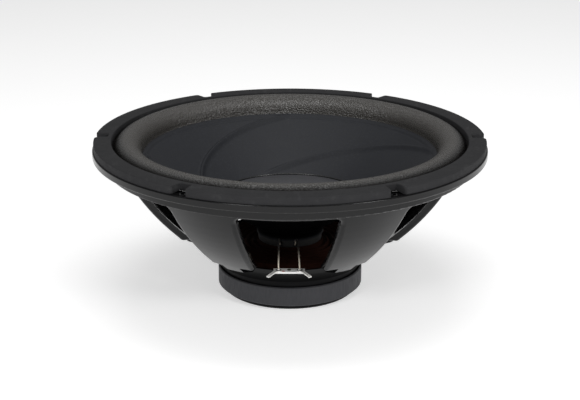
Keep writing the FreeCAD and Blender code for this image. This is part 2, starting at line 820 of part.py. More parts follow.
def make_terminal_board():
    """Fibre strip that carries the two solder lugs."""
    body = new_body("terminal_board")
    half = cell("board_half")
    sketch = new_sketch(body, "board_outline", "XY_Plane", cell("board_bottom"))
    outline(sketch, [(-half, -cell("board_near")), (half, -cell("board_near")),
                     (half, -cell("board_far")), (-half, -cell("board_far"))])
    circle_at(sketch, as_size(0), -cell("board_rivet_place"), cell("board_rivet") + cell("rivet_fit"))
    for side in (-1, 1):
        circle_at(sketch, cell("eyelet_across") * side, -cell("eyelet_place"),
                  cell("eyelet_shank") + cell("rivet_fit"))
    padded(body, "board_strip", sketch, cell("board_thickness"))
    return body


def make_board_rivet():
    """Rivet with a head on each side, through the board and the basket's tab."""
    body = new_body("board_rivet")
    gap = cell("rivet_fit")
    level = as_size(0)
    shank = cell("board_rivet")
    head = cell("board_rivet_head")
    rise = cell("board_rivet_rise")
    top = cell("board_bottom") + cell("board_thickness") + gap
    bottom = cell("rim_top") - cell("steel") - gap
    turned(body, "board_rivet_pin", [
        (level, bottom - rise),
        (head, bottom - rise),
        (head, bottom),
        (shank, bottom),
        (shank, top),
        (head, top),
        (head, top + rise),
        (level, top + rise),
    ], -cell("board_rivet_place"), level)
    return body


def make_lug_eyelets():
    """Two hollow eyelets that clamp the lugs to the board."""
    body = new_body("lug_eyelets")
    gap = cell("rivet_fit")
    fold = cell("eyelet_fold")
    bore = cell("eyelet_bore")
    shank = cell("eyelet_shank")
    flange = cell("eyelet_flange")
    bottom = cell("board_bottom") - gap
    top = cell("board_bottom") + cell("board_thickness") + cell("lug_gap") + cell("lug_thickness") + gap
    for name, side in (("positive", -1), ("negative", 1)):
        turned(body, name + "_eyelet", [
            (bore, bottom - fold),
            (flange, bottom - fold),
            (flange, bottom),
            (shank, bottom),
            (shank, top),
            (flange, top),
            (flange, top + fold),
            (bore, top + fold),
        ], -cell("eyelet_place"), cell("eyelet_across") * side)
    return body


def make_lug(name, side):
    """Solder lug: a round pad on its eyelet and a tab that splays out and down."""
    body = new_body(name)
    gauge = cell("lug_thickness")
    bend = cell("lug_bend")
    tip = cell("lug_length")
    drop = cell("lug_drop")
    level = as_size(0)
    sketch = new_sketch(body, name + "_side", "YZ_Plane")
    outline(sketch, [(level, level), (level, gauge), (-bend, gauge), (-tip, gauge - drop),
                     (-tip, -drop), (-bend, level)])
    tab = padded(body, name + "_tab", sketch, cell("lug_width"))
    tab.Midplane = True
    pad = new_sketch(body, name + "_pad_outline", "XY_Plane")
    circle_at(pad, level, level, cell("lug_pad"))
    padded(body, name + "_pad", pad, gauge)
    holes = new_sketch(body, name + "_holes_outline", "XY_Plane")
    circle_at(holes, level, level, cell("eyelet_shank") + cell("rivet_fit"))
    circle_at(holes, level, -(tip - cell("lug_slot") * 3), cell("lug_slot"))
    drilled(body, name + "_holes", holes)
    body.setExpression("Placement.Base.x", (cell("eyelet_across") * side).text)
    body.setExpression("Placement.Base.y", (-cell("eyelet_place")).text)
    body.setExpression("Placement.Base.z", (
        cell("board_bottom") + cell("board_thickness") + cell("lug_gap")).text)
    body.setExpression("Placement.Rotation.Angle", (cell("lug_turn") * side).text)
    document.recompute()
    return body


def make_lead(name, side, turn):
    """Tinsel lead: one bow from its eyelet up and over to its solder pad, in an upright plane."""
    end = cell("lead_end")
    across = end * sine(turn) - cell("eyelet_across") * side
    along = cell("eyelet_place") - end * cosine(turn)
    rise = cell("pad_height") - cell("lead_start")
    run = root(across * across + along * along)
    chord = root(run * run + rise * rise)
    sweep = arcsine(chord / 2 / cell("lead_arc")) * 2
    lead = document.addObject("Part::Torus", name)
    lead.Label = name
    lead.setExpression("Radius1", cell("lead_arc").text)
    lead.setExpression("Radius2", cell("lead_wire").text)
    lead.setExpression("Angle3", sweep.text)
    heading = math.degrees(math.atan2(along.value, across.value))
    slope = math.degrees(math.atan2(rise.value, run.value))
    start = FreeCAD.Vector(numbers["eyelet_across"] * side, -numbers["eyelet_place"],
                           numbers["lead_start"])
    stand_up = FreeCAD.Rotation(FreeCAD.Vector(1, 0, 0), 90)
    face_pad = FreeCAD.Rotation(FreeCAD.Vector(0, 0, 1), heading)
    first = FreeCAD.Rotation(FreeCAD.Vector(0, 0, 1), 90 - sweep.value / 2 + slope)
    turn_all = face_pad.multiply(stand_up).multiply(first)
    last = turn_all.multVec(FreeCAD.Vector(
        numbers["lead_arc"] * math.cos(math.radians(sweep.value)),
        numbers["lead_arc"] * math.sin(math.radians(sweep.value)), 0))
    lead.Placement = FreeCAD.Placement(start - last, turn_all)
    document.recompute()
    return lead


def make_solder_pads():
    """Two solder pads on the coil's collar, where the leads end."""
    pads = []
    for name, turn in (("positive_pad", "positive_turn"), ("negative_pad", "negative_turn")):
        pad = document.addObject("Part::Cylinder", name)
        pad.setExpression("Radius", cell("pad_radius").text)
        pad.setExpression("Height", (cell("pad_outer") - cell("pad_inner")).text)
        outward = FreeCAD.Rotation(FreeCAD.Vector(0, 0, 1), numbers[turn]).multiply(
            FreeCAD.Rotation(FreeCAD.Vector(1, 0, 0), 90))
        foot = outward.multVec(FreeCAD.Vector(0, 0, numbers["pad_inner"]))
        pad.Placement = FreeCAD.Placement(
            foot + FreeCAD.Vector(0, 0, numbers["pad_height"]), outward)
        pads.append(pad)
    group = document.addObject("Part::MultiFuse", "lead_solder_pads")
    group.Label = "lead_solder_pads"
    group.Shapes = pads
    document.recompute()
    return group


def make_all():
    former = ring("voice_coil_former", cell("former_inner"), cell("former_outer"),
                  cell("former_bottom"), cell("former_top"))
    winding = ring("voice_coil_winding", cell("coil_inner"), cell("coil_outer"),
                   cell("coil_bottom"), cell("coil_top"))
    collar = ring("former_collar", cell("coil_inner"), cell("collar_outer"),
                  cell("collar_bottom"), cell("collar_top"))
    return [
        make_basket(), make_gasket(), make_surround(), make_cone(), make_dust_cap(),
        former, winding, collar, make_spider(), make_top_plate(), make_magnet(),
        make_pole_yoke(), make_basket_rivets(), make_terminal_board(), make_board_rivet(),
        make_lug_eyelets(), make_lug("positive_lug", -1), make_lug("negative_lug", 1),
        make_lead("positive_lead", -1, cell("positive_turn")),
        make_lead("negative_lead", 1, cell("negative_turn")), make_solder_pads(),
    ]


def check_and_write(pieces):
    """Stops on a failed object or a bad shape, then writes one STEP file for each piece."""
    document.recompute()
    for item in document.Objects:
        if "Invalid" in item.State or "Error" in item.State:
            raise RuntimeError("%s failed: %s" % (item.Name, item.State))
    for piece in pieces:
        if piece.Shape.isNull() or not piece.Shape.isValid():
            raise RuntimeError("%s has no valid shape" % piece.Label)
    os.makedirs("parts", exist_ok=True)
    for piece in pieces:
        piece.Shape.exportStep(os.path.join("parts", piece.Label + ".step"))


check_and_write(make_all())
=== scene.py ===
import math

import bpy
import numpy as np
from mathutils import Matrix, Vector


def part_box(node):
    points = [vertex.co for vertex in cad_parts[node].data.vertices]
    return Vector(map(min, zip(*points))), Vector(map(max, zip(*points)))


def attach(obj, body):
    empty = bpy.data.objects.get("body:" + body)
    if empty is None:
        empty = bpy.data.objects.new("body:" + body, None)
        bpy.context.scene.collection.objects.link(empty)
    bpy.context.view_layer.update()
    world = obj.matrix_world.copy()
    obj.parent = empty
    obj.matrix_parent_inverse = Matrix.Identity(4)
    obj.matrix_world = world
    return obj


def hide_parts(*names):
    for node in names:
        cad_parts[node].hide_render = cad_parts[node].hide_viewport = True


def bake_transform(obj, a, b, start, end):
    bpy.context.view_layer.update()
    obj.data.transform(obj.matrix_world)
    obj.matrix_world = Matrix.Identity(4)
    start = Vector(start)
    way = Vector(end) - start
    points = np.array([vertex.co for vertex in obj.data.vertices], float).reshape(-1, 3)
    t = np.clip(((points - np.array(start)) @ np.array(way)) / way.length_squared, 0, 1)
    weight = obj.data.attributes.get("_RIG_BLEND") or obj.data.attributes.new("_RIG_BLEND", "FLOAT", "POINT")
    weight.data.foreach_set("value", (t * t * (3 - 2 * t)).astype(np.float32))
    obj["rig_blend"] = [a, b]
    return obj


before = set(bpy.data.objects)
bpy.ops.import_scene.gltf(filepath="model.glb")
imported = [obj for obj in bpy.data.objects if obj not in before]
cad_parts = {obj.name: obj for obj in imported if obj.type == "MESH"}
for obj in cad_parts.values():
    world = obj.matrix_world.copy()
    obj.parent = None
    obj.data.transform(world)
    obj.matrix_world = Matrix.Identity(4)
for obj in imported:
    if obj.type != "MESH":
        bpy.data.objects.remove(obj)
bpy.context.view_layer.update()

MM = 0.001
FRAME_BODY = "frame"
CONE_BODY = "moving_cone"
AROUND = 512

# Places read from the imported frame, in metres.
GASKET_LOW, GASKET_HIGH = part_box("mounting_gasket")
CONE_LOW, CONE_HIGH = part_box("cone")
CAP_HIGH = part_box("dust_cap")[1]
SPIDER_LOW, SPIDER_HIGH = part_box("spider")
BOARD_LOW, BOARD_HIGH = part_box("terminal_board")
PADS_LOW, PADS_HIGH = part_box("lead_solder_pads")
EYELETS_LOW, EYELETS_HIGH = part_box("lug_eyelets")
YOKE_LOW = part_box("pole_yoke")[0]
EYELET_ACROSS = EYELETS_HIGH.x - (EYELETS_HIGH.y - EYELETS_LOW.y) / 2
EYELET_ALONG = (EYELETS_HIGH.y + EYELETS_LOW.y) / 2


# ---------------------------------------------------------------- mesh helpers

def mesh_object(name, points, faces, sharp=math.radians(50)):
    """A smooth-shaded object from vertex positions and face index lists."""
    mesh = bpy.data.meshes.new(name)
    mesh.from_pydata([tuple(point) for point in points], [], faces)
    mesh.validate()
    mesh.update()
    mesh.shade_smooth()
    mesh.set_sharp_from_angle(angle=sharp)
    piece = bpy.data.objects.new(name, mesh)
    bpy.context.scene.collection.objects.link(piece)
    return piece


def loft(rings, closed=True):
    """Points and quads through rings of equal length; closed joins the last ring to the first."""
    count = len(rings[0])
    points = [point for ring in rings for point in ring]
    faces = []
    last = len(rings) if closed else len(rings) - 1
    for row in range(last):
        below = row * count
        above = ((row + 1) % len(rings)) * count
        for column in range(count):
            step = (column + 1) % count
            faces.append((below + column, below + step, above + step, above + column))
    return points, faces


def circle(radius, height, around=AROUND):
    """A ring of points about Z, turning anticlockwise from +X."""
    turns = [math.tau * index / around for index in range(around)]
    return [(radius * math.cos(turn), radius * math.sin(turn), height) for turn in turns]


def lathe(name, outline, around=AROUND, sharp=math.radians(50)):
    """A closed ring swept about Z from an outline of (radius, height) pairs."""
    points, faces = loft([circle(radius, height, around) for radius, height in outline])
    return mesh_object(name, points, faces, sharp)


def arc(centre, radius, start, end, steps):
    """Points on an arc in the radius-height plane, angles in degrees from outward."""
    turns = np.radians(np.linspace(start, end, steps))
    return [(centre[0] + radius * math.cos(t), centre[1] + radius * math.sin(t)) for t in turns]


def smooth_step(low, high, value):
    """0 below low, 1 above high and a smooth rise between them."""
    share = np.clip((value - low) / (high - low), 0.0, 1.0)
    return share * share * (3 - 2 * share)


def bend_by_radius(piece, fixed_radius, moving_radius):
    """The piece stays with the frame at one radius and follows the cone at the other.
    """
    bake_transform(piece, FRAME_BODY, CONE_BODY, start=(fixed_radius, 0, 0), end=(moving_radius, 0, 0))
    mesh = piece.data
    places = np.zeros(len(mesh.vertices) * 3)
    mesh.vertices.foreach_get("co", places)
    radii = np.hypot(places[0::3], places[1::3])
    inward = (fixed_radius - radii) / (fixed_radius - moving_radius)
    shares = smooth_step(0.0, 1.0, inward).astype(np.float32)
    mesh.attributes["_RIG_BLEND"].data.foreach_set("value", shares)


# ---------------------------------------------------------------- material helpers

class Finish:
    """A Principled material built from nodes, with short calls for the usual patterns."""

    def __init__(self, name, roughness=0.5, metallic=0.0, coat=0.0):
        self.material = bpy.data.materials.new(name)
        self.material.use_nodes = True
        self.tree = self.material.node_tree
        self.shader = self.tree.nodes["Principled BSDF"]
        self.shader.inputs["Roughness"].default_value = roughness
        self.shader.inputs["Metallic"].default_value = metallic
        self.shader.inputs["Coat Weight"].default_value = coat
        self.shader.inputs["Coat Roughness"].default_value = 0.1
        self.place = self.tree.nodes.new("ShaderNodeTexCoord").outputs["Object"]

    def link(self, source, target):
        """Feeds target from a number or from another node's output."""
        if isinstance(source, (int, float)):
            target.default_value = source
        else:
            self.tree.links.new(source, target)

    def set(self, name, source):
        self.link(source, self.shader.inputs[name])

    def noise(self, size, detail=4.0, rough=0.55, stretch=None):
        """Noise whose features are about size metres across."""
        node = self.tree.nodes.new("ShaderNodeTexNoise")
        node.inputs["Scale"].default_value = 1.0 / size
        node.inputs["Detail"].default_value = detail
        node.inputs["Roughness"].default_value = rough
        place = self.stretched(stretch) if stretch else self.place
        self.tree.links.new(place, node.inputs["Vector"])
        return node.outputs["Fac"]

    def cells(self, size):
        """Cell pattern whose cells are about size metres across."""
        node = self.tree.nodes.new("ShaderNodeTexVoronoi")
        node.inputs["Scale"].default_value = 1.0 / size
        self.tree.links.new(self.place, node.inputs["Vector"])
        return node.outputs["Distance"]

    def parts(self, vector):
        """The X, Y and Z outputs of a vector."""
        node = self.tree.nodes.new("ShaderNodeSeparateXYZ")
        self.tree.links.new(vector, node.inputs[0])
        return node.outputs

    def facing_up(self):
        """1 where the surface faces straight up, -1 where it faces straight down."""
        return self.parts(self.tree.nodes.new("ShaderNodeNewGeometry").outputs["Normal"])[2]

    def stretched(self, factors):
        """The object's places, scaled by a factor along each axis."""
        node = self.tree.nodes.new("ShaderNodeMapping")
        node.inputs["Scale"].default_value = factors
        self.tree.links.new(self.place, node.inputs["Vector"])
        return node.outputs["Vector"]

    def math(self, operation, first, second=0.0, third=0.0):
        node = self.tree.nodes.new("ShaderNodeMath")
        node.operation = operation
        for socket, source in zip(node.inputs, (first, second, third)):
            self.link(source, socket)
        return node.outputs[0]

    def between(self, source, low, high, start=0.0, end=1.0):
        """Maps low..high smoothly to start..end."""
        node = self.tree.nodes.new("ShaderNodeMapRange")
        node.interpolation_type = "SMOOTHSTEP"
        self.link(source, node.inputs["Value"])
        for socket, value in zip(("From Min", "From Max", "To Min", "To Max"),
                                 (low, high, start, end)):
            node.inputs[socket].default_value = value
        return node.outputs["Result"]

    def mix(self, share, first, second):
        """Colour between first and second; each is a colour triple or a socket."""
        node = self.tree.nodes.new("ShaderNodeMix")
        node.data_type = "RGBA"
        self.link(share, node.inputs["Factor"])
        for key, source in (("A", first), ("B", second)):
            socket = [item for item in node.inputs if item.name == key and item.type == "RGBA"][0]
            if isinstance(source, tuple):
                socket.default_value = source + (1.0,)
            else:
                self.tree.links.new(source, socket)
        return [item for item in node.outputs if item.type == "RGBA"][0]

    def polar(self):
        """Radius from the axis, turn about it in radians, and height."""
        across, along, up = self.parts(self.place)
        squares = self.math("ADD", self.math("MULTIPLY", across, across),
                            self.math("MULTIPLY", along, along))
        return self.math("SQRT", squares), self.math("ARCTAN2", along, across), up

    def wave(self, source, length):
        """A sine of source that repeats every length."""
        return self.math("SINE", self.math("MULTIPLY", source, math.tau / length))

    def bump(self, height, depth, strength=1.0, over=None):
        """Bump of about depth metres; over is an earlier bump's normal."""
        node = self.tree.nodes.new("ShaderNodeBump")
        node.inputs["Distance"].default_value = depth
        node.inputs["Strength"].default_value = strength
        self.link(height, node.inputs["Height"])
        if over is not None:
            self.tree.links.new(over, node.inputs["Normal"])
        self.tree.links.new(node.outputs["Normal"], self.shader.inputs["Normal"])
        return node.outputs["Normal"]

    def edge_wear(self, low=0.52, high=0.6):
        """0 on flat ground, 1 on convex edges."""
        node = self.tree.nodes.new("ShaderNodeNewGeometry")
        return self.between(node.outputs["Pointiness"], low, high)

    def paint(self, *pieces):
        """Gives the finish to pieces, in place of whatever they had."""
        for piece in pieces:
            piece.data.materials.clear()
            piece.data.materials.append(self.material)


def gloss_paint():
    """Baked black enamel on pressed steel: faint orange peel, dust and dulled patches; its reflection is
    dimmed low in the pan as painted shade.
    """
    finish = Finish("gloss_black_paint", roughness=0.16)
    peel = finish.noise(2.4 * MM, detail=2.0)
    patches = finish.noise(28 * MM, detail=3.0)
    dust = finish.between(finish.noise(0.5 * MM, detail=2.0), 0.66, 0.74)
    worn = finish.math("MULTIPLY", finish.edge_wear(0.56, 0.7), 0.12)
    base = finish.mix(patches, (0.0012, 0.0012, 0.0014), (0.0026, 0.0026, 0.003))
    base = finish.mix(worn, base, (0.03, 0.03, 0.032))
    base = finish.mix(finish.math("MULTIPLY", dust, 0.12), base, (0.03, 0.03, 0.031))
    finish.set("Base Color", base)
    # Painted shade: the reflection fades out low in the pan, where shade falls under the cone and basket.
    height = finish.polar()[2]
    finish.set("Specular IOR Level", finish.between(height, -92 * MM, -80 * MM, 0.04, 0.3))
    finish.set("Roughness", finish.between(patches, 0.3, 0.7, 0.13, 0.2))
    finish.bump(peel, 0.02 * MM, 0.35)
    return finish


def gasket_foam():
    """Dense closed-cell foam rubber: fine pores and faint paler scuffs."""
    finish = Finish("gasket_foam", roughness=0.8)
    pores = finish.cells(0.55 * MM)
    grain = finish.noise(0.9 * MM, detail=5.0)
    cloud = finish.noise(14 * MM, detail=4.0)
    scuffs = finish.between(finish.noise(5 * MM, detail=6.0, stretch=(1.0, 0.25, 1.0)), 0.55, 0.72)
    base = finish.mix(cloud, (0.018, 0.018, 0.0192), (0.028, 0.028, 0.0298))
    base = finish.mix(finish.math("MULTIPLY", scuffs, 0.4), base, (0.052, 0.052, 0.054))
    base = finish.mix(finish.math("MULTIPLY", grain, 0.3), base, (0.015, 0.015, 0.016))
    finish.set("Specular IOR Level", 0.25)
    finish.set("Base Color", base)
    finish.set("Roughness", finish.between(cloud, 0.3, 0.7, 0.7, 0.9))
    first = finish.bump(pores, 0.12 * MM, 0.5)
    finish.bump(cloud, 0.8 * MM, 0.4, over=first)
    return finish


def surround_skin():
    """Foam roll with a pressed leathery skin that catches speckled light."""
    finish = Finish("surround_skin", roughness=0.45)
    grain = finish.cells(1.15 * MM)
    fine = finish.noise(0.6 * MM, detail=4.0)
    tone = finish.noise(22 * MM, detail=3.0)
    radius = finish.polar()[0]
    base = finish.mix(tone, (0.02, 0.0175, 0.0145), (0.032, 0.0285, 0.024))
    base = finish.mix(finish.between(grain, 0.3, 0.75, 0.0, 0.6), base, (0.05, 0.046, 0.04))
    # Painted shade: from the crest outward the skin is painted near black and its reflection dimmed, as the
    # shade in the valley beside the gasket.
    painted_valley_shade = finish.between(radius, 133.0 * MM, 139.0 * MM)
    finish.set("Base Color", finish.mix(painted_valley_shade, base, (0.006, 0.0055, 0.005)))
    finish.set("Specular IOR Level", finish.between(radius, 136.0 * MM, 141.0 * MM, 1.0, 0.04))
    finish.set("Roughness", finish.between(fine, 0.3, 0.7, 0.2, 0.38))
    first = finish.bump(grain, 0.6 * MM, 0.9)
    finish.bump(fine, 0.2 * MM, 0.6, over=first)
    return finish


def cone_skin():
    """Pressed pulp with short fibres, dyed blue-black and sealed; the underside is painted near black as
    shade.
    """
    finish = Finish("cone_skin", roughness=0.55)
    fibres = finish.noise(1.6 * MM, detail=5.0, rough=0.7)
    tone = finish.noise(35 * MM, detail=3.0)
    base = finish.mix(tone, (0.0135, 0.0145, 0.0178), (0.019, 0.0203, 0.0243))
    base = finish.mix(finish.between(fibres, 0.45, 0.75, 0.0, 0.4), base, (0.05, 0.054, 0.062))
    # Painted shade: faces turned downwards are painted near black with almost no reflection, as the shade
    # under the cone.
    facing = finish.facing_up()
    under = finish.between(facing, -0.3, 0.1, 1.0, 0.0)
    base = finish.mix(under, base, (0.0012, 0.0012, 0.0013))
    finish.set("Base Color", base)
    finish.set("Specular IOR Level", finish.between(facing, -0.3, 0.1, 0.02, 0.25))
    finish.set("Roughness", finish.between(fibres, 0.3, 0.7, 0.48, 0.66))
    finish.bump(fibres, 0.14 * MM, 0.5)
    return finish


def cap_skin():
    """The dust cap's cloth-backed dome: a tight weave under black lacquer."""
    finish = Finish("cap_skin", roughness=0.5)
    thread = 0.45 * MM
    across, along = finish.parts(finish.place)[:2]
    weave = finish.math("MULTIPLY", finish.wave(across, thread), finish.wave(along, thread))
    tone = finish.noise(18 * MM, detail=4.0)
    base = finish.mix(tone, (0.042, 0.043, 0.048), (0.06, 0.061, 0.067))
    base = finish.mix(finish.between(weave, -1.0, 1.0, 0.0, 0.3), base, (0.09, 0.09, 0.096))
    finish.set("Base Color", base)
    finish.set("Roughness", finish.between(tone, 0.3, 0.7, 0.42, 0.56))
    finish.bump(weave, 0.05 * MM, 0.4)
    return finish


def spider_cloth():
    """Brown resin-stiffened cotton: threads run round and out from the coil."""
    finish = Finish("spider_cloth", roughness=0.85)
    radius, turn = finish.polar()[:2]
    threads_round = 420
    spokes = finish.math("SINE", finish.math("MULTIPLY", turn, threads_round))
    weave = finish.math("MULTIPLY", finish.wave(radius, 0.7 * MM), spokes)
    resin = finish.noise(9 * MM, detail=4.0)
    base = finish.mix(resin, (0.02, 0.006, 0.0035), (0.036, 0.011, 0.006))
    base = finish.mix(finish.between(weave, -1.0, 1.0, 0.0, 0.5), base, (0.02, 0.007, 0.004))
    # Painted shade: the flat glued edge beyond the corrugations is painted dark grey, where shade falls on
    # it.
    rim = finish.between(radius, 62.3 * MM, 63.2 * MM)
    base = finish.mix(rim, base, (0.008, 0.008, 0.008))
    finish.set("Base Color", base)
    finish.set("Specular IOR Level", 0.1)
    finish.bump(weave, 0.12 * MM, 0.6)
    return finish


def ferrite():
    """Sintered ferrite: matte, faintly blue, ground and pitted, with its top face painted near black as the
    shade under the pan.
    """
    finish = Finish("ferrite", roughness=0.6)
    cloud = finish.noise(7 * MM, detail=5.0)
    marks = finish.noise(1.4 * MM, detail=5.0, stretch=(1.0, 1.0, 0.2))
    pits = finish.between(finish.cells(2.2 * MM), 0.0, 0.12, 1.0, 0.0)
    base = finish.mix(cloud, (0.0145, 0.015, 0.0172), (0.0225, 0.0232, 0.026))
    base = finish.mix(finish.math("MULTIPLY", pits, 0.6), base, (0.015, 0.015, 0.017))
    base = finish.mix(finish.math("MULTIPLY", finish.edge_wear(), 0.4), base, (0.09, 0.09, 0.098))
    # Painted shade: faces turned upwards are painted near black with almost no reflection, as the shade
    # under the basket's pan.
    upper = finish.between(finish.facing_up(), 0.6, 0.9)
    finish.set("Base Color", finish.mix(upper, base, (0.001, 0.001, 0.0012)))
    finish.set("Specular IOR Level", finish.between(upper, 0.0, 1.0, 0.3, 0.02))
    finish.set("Roughness", finish.between(marks, 0.3, 0.7, 0.5, 0.72))
    finish.bump(marks, 0.08 * MM, 0.5)
    return finish


def plated_steel():
    """Black zinc on turned steel: fine concentric tool marks and a satin sheen."""
    finish = Finish("black_zinc", roughness=0.35)
    finish.set("Specular IOR Level", 0.08)
    marks = finish.wave(finish.polar()[0], 0.8 * MM)
    cloud = finish.noise(11 * MM, detail=4.0)
    base = finish.mix(cloud, (0.002, 0.002, 0.0023), (0.004, 0.004, 0.0045))
    base = finish.mix(finish.math("MULTIPLY", finish.edge_wear(), 0.04), base, (0.06, 0.06, 0.064))
    finish.set("Base Color", base)
    finish.set("Roughness", finish.between(cloud, 0.3, 0.7, 0.3, 0.48))
    finish.bump(marks, 0.02 * MM, 0.4)
    return finish


def rivet_steel():
    """Rivets: steel gone brown-grey, with hammered heads."""
    finish = Finish("rivet_steel", roughness=0.4, metallic=0.85)
    dents = finish.noise(1.1 * MM, detail=3.0)
    tone = finish.noise(3.0 * MM, detail=3.0)
    finish.set("Base Color", finish.mix(tone, (0.09, 0.08, 0.065), (0.2, 0.185, 0.16)))
    finish.set("Roughness", finish.between(dents, 0.3, 0.7, 0.3, 0.55))
    finish.bump(dents, 0.1 * MM, 0.6)
    return finish


def board_laminate():
    """Pale paper laminate with fibres and resin-stained cut edges."""
    finish = Finish("board_laminate", roughness=0.5)
    fibres = finish.noise(0.8 * MM, detail=5.0, stretch=(0.3, 1.0, 1.0))
    stain = finish.noise(5 * MM, detail=3.0)
    base = finish.mix(fibres, (0.86, 0.85, 0.84), (0.95, 0.95, 0.94))
    base = finish.mix(finish.between(stain, 0.5, 0.75, 0.0, 0.5), base, (0.72, 0.63, 0.48))
    finish.set("Base Color", base)
    finish.set("Roughness", finish.between(fibres, 0.3, 0.7, 0.4, 0.6))
    finish.bump(fibres, 0.04 * MM, 0.5)
    return finish


def tinned_metal():
    """Tinned brass: bright where it is clean, dark with flux round the eyelets."""
    finish = Finish("tinned_brass", roughness=0.35, metallic=0.3)
    x, y = finish.parts(finish.place)[:2]
    across = finish.math("SUBTRACT", finish.math("ABSOLUTE", x), EYELET_ACROSS)
    along = finish.math("SUBTRACT", y, EYELET_ALONG)
    away = finish.math("SQRT", finish.math("ADD", finish.math("MULTIPLY", across, across),
                                           finish.math("MULTIPLY", along, along)))
    smear = finish.noise(1.0 * MM, detail=4.0)
    wander = finish.math("MULTIPLY_ADD", smear, 1.2 * MM, away)
    flux = finish.between(wander, 2.6 * MM, 3.1 * MM, 1.0, 0.0)
    base = finish.mix(smear, (0.82, 0.8, 0.76), (0.93, 0.92, 0.9))
    base = finish.mix(finish.math("MULTIPLY", flux, 0.96), base, (0.012, 0.01, 0.008))
    finish.set("Base Color", base)
    finish.set("Roughness", finish.between(smear, 0.3, 0.7, 0.25, 0.45))
    finish.bump(smear, 0.08 * MM, 0.5)
    return finish


def solder_metal():
    """Solder: lumpy, bright, slightly crystalline."""
    finish = Finish("solder", roughness=0.3, metallic=0.8)
    lumps = finish.noise(0.8 * MM, detail=4.0)
    finish.set("Base Color", finish.mix(lumps, (0.7, 0.69, 0.66), (0.93, 0.92, 0.9)))
    finish.set("Roughness", finish.between(lumps, 0.3, 0.7, 0.22, 0.5))
    finish.bump(lumps, 0.1 * MM, 0.6)
    return finish


def tinsel_braid():
    """Braided tinsel: pale metal ribbon over a cotton core, painted dark towards its upper end as shade."""
    finish = Finish("tinsel_braid", roughness=0.5, metallic=0.35)
    strands = finish.noise(0.35 * MM, detail=3.0)
    base = finish.mix(strands, (0.6, 0.52, 0.4), (0.95, 0.88, 0.76))
    # Painted shade: the braid darkens towards its upper end, where it runs into shade under the cone.
    height = finish.polar()[2]
    base = finish.mix(finish.between(height, -72 * MM, -63 * MM), base, (0.03, 0.026, 0.02))
    finish.set("Base Color", base)
    finish.set("Roughness", finish.between(strands, 0.3, 0.7, 0.4, 0.65))
    finish.bump(strands, 0.1 * MM, 0.6)
    return finish


def black_paper():
    """Black kraft paper wound round the coil former, with a faint spiral seam."""
    finish = Finish("collar_paper", roughness=0.75)
    turn, height = finish.polar()[1:]
    spiral = finish.math("SINE", finish.math("MULTIPLY_ADD", height, math.tau / (6 * MM), turn))
    seam = finish.between(spiral, 0.96, 1.0)
    fibres = finish.noise(0.9 * MM, detail=4.0)
    base = finish.mix(fibres, (0.01, 0.01, 0.01), (0.02, 0.019, 0.018))
    finish.set("Base Color", finish.mix(seam, base, (0.004, 0.004, 0.004)))
    finish.bump(fibres, 0.05 * MM, 0.5)
    return finish


def former_foil():
    """Anodised foil former with faint drawn lines."""
    finish = Finish("former_foil", roughness=0.35, metallic=0.9)
    lines = finish.noise(0.6 * MM, detail=3.0, stretch=(1.0, 1.0, 0.1))
    finish.set("Base Color", finish.mix(lines, (0.22, 0.21, 0.2), (0.36, 0.35, 0.33)))
    finish.set("Roughness", finish.between(lines, 0.3, 0.7, 0.25, 0.45))
    finish.bump(lines, 0.02 * MM, 0.4)
    return finish


def coil_wire():
    """Enamelled copper turns, side by side."""
    finish = Finish("coil_wire", roughness=0.3, metallic=0.9, coat=0.5)
    turns = finish.wave(finish.polar()[2], 0.5 * MM)
    base = finish.mix(finish.between(turns, -1.0, 0.2), (0.08, 0.022, 0.008), (0.5, 0.17, 0.06))
    finish.set("Base Color", base)
    finish.bump(turns, 0.1 * MM, 0.8)
    return finish


def red_ink():
    """A dab of red marking ink, thin at its edge."""
    finish = Finish("red_ink", roughness=0.4)
    tone = finish.noise(0.7 * MM, detail=4.0)
    finish.set("Base Color", finish.mix(tone, (0.5, 0.06, 0.05), (0.72, 0.2, 0.16)))
    finish.bump(tone, 0.03 * MM, 0.5)
    return finish


def glue_film():
    """Black glue: shiny, a little uneven along its bead."""
    finish = Finish("black_glue", roughness=0.25)
    lumps = finish.noise(2.5 * MM, detail=3.0)
    finish.set("Base Color", finish.mix(lumps, (0.008, 0.008, 0.009), (0.02, 0.02, 0.021)))
    finish.bump(lumps, 0.25 * MM, 0.5)
    return finish


# ---------------------------------------------------------------- gasket

NOTCHES = 6
NOTCH_WALL = 148.0 * MM
NOTCH_BACK = 4.7 * MM
NOTCH_MOUTH = 6.5 * MM
NOTCH_ROUND = 3.0 * MM
NOTCH_SMALL_ROUND = 0.8 * MM
NOTCH_INNER_ROUND = 1.0 * MM
GASKET_EDGE = 0.9 * MM
GASKET_INNER = 144.5 * MM
GASKET_STEP = 0.85 * MM
FLANGE_LEDGE = 150.96 * MM


def rounded_corner(before, corner, after, radius, steps=6):
    """Points that replace corner by an arc tangent to both of its sides."""
    inward = (before - corner).normalized()
    outward = (after - corner).normalized()
    half = inward.angle(outward) / 2
    reach = radius / math.tan(half)
    start = corner + inward * reach
    end = corner + outward * reach
    centre = corner + (inward + outward).normalized() * (radius / math.sin(half))
    first = start - centre
    last = end - centre
    sweep = first.angle(last)
    points = []
    for index in range(steps + 1):
        share = index / steps
        weight_first = math.sin((1 - share) * sweep) / math.sin(sweep)
        weight_last = math.sin(share * sweep) / math.sin(sweep)
        points.append(centre + first * weight_first + last * weight_last)
    return points


